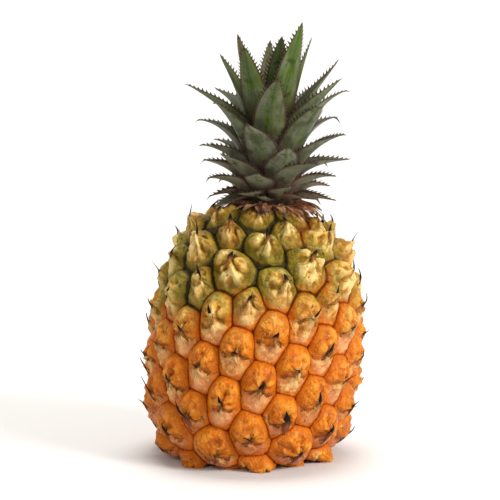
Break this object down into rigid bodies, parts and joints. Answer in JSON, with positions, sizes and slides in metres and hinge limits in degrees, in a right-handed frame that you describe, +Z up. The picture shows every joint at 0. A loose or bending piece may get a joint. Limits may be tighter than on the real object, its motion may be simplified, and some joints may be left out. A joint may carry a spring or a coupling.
{
  "type": "pineapple",
  "caption": "Small ripe pineapple standing on its base: domed spiral eyes with dried spiked bracts, and a crown of toothed leaves.",
  "frame": {"origin": "middle of the cut stalk's lower face, on the surface that the fruit stands on", "axes": "+Z up, front towards -Y, +X to the right seen from the front; the fruit leans a little towards +X"},
  "size_m": [0.1198, 0.1191, 0.2244],
  "materials": {
    "fruit_skin": "waxy ripe rind, orange with olive grooves and dark dried bract tips",
    "green_leaf": "grey-green leaf with a pale bloom and reddish toothed margins",
    "withered_leaf": "dry papery reddish-brown leaf",
    "cut_stalk": "dried fibrous cut face"
  },
  "bodies": {
    "root": {"fruit": "fruit_skin", "crown": "green_leaf", "crown_foot_leaves": "withered_leaf", "stalk": "cut_stalk"}
  },
  "joints": []
}
